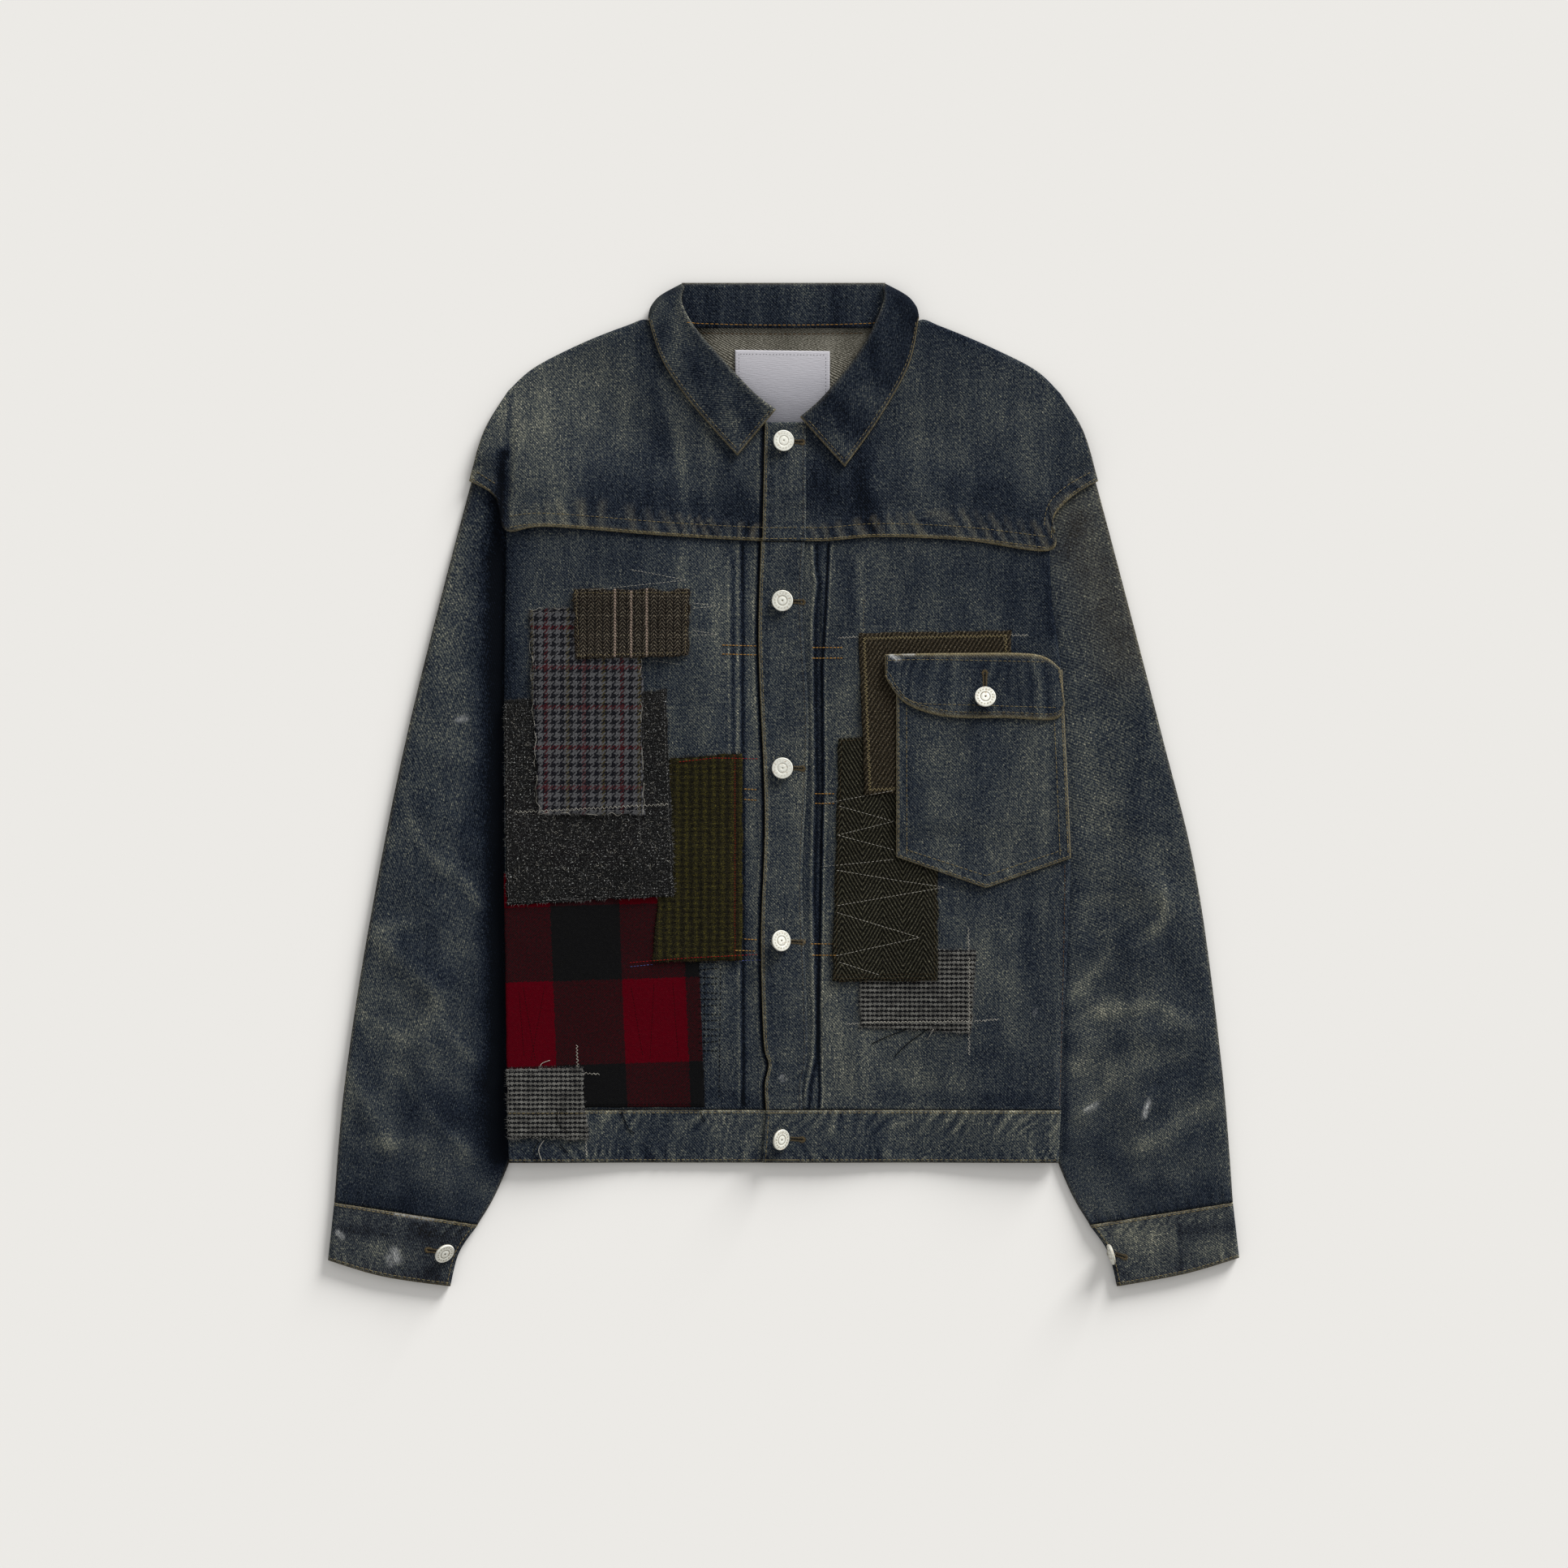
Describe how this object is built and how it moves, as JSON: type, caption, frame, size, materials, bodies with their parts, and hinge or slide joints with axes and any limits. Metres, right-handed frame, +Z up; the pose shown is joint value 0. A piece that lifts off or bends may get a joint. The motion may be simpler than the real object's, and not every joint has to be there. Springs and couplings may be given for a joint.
{
  "type": "patched denim jacket",
  "caption": "Denim work jacket laid flat on its back, buttoned, with a turned-down collar, pleated fronts, a flapped chest pocket and wool patches sewn over its worn fronts.",
  "frame": {"origin": "middle of the jacket's outline on the table it lies on", "axes": "+X to the wearer's left, +Y towards the collar, +Z up from the table, out of the jacket's front"},
  "size_m": [0.73, 0.8038, 0.0203],
  "materials": {
    "denim": "washed indigo twill, faded along folds and seams",
    "label": "plain woven satin, bare",
    "red_plaid": "wool, red and black plaid",
    "olive_check": "wool, dark olive check",
    "charcoal": "wool felt with pale hairs",
    "houndstooth": "wool, grey and navy houndstooth",
    "brown_stripe": "wool tweed with pale stripes",
    "grey_check": "wool, small grey and black check",
    "herringbone": "wool, dark olive herringbone",
    "brown_twill": "wool twill, dark brown with tan flecks",
    "button": "pale stamped metal"
  },
  "bodies": {
    "root": {"back": "denim", "waistband_back": "denim", "front_right": "denim", "front_left": "denim", "yoke_right": "denim", "yoke_left": "denim", "placket": "denim", "placket_yoke": "denim", "waistband_right": "denim", "waistband_left": "denim", "sleeve_right": "denim", "sleeve_left": "denim", "cuff_right": "denim", "cuff_left": "denim", "collar": "denim", "pocket": "denim", "pocket_flap": "denim", "neck_label": "label", "patch_red_plaid": "red_plaid", "patch_olive_check": "olive_check", "patch_charcoal": "charcoal", "patch_houndstooth": "houndstooth", "patch_brown_stripe": "brown_stripe", "patch_grey_check_right": "grey_check", "patch_grey_check_left": "grey_check", "patch_herringbone": "herringbone", "patch_brown_twill": "brown_twill", "button_neck": "button", "button_chest": "button", "button_middle": "button", "button_lower": "button", "button_waist": "button", "button_pocket": "button", "button_cuff_right": "button", "button_cuff_left": "button"}
  },
  "joints": []
}
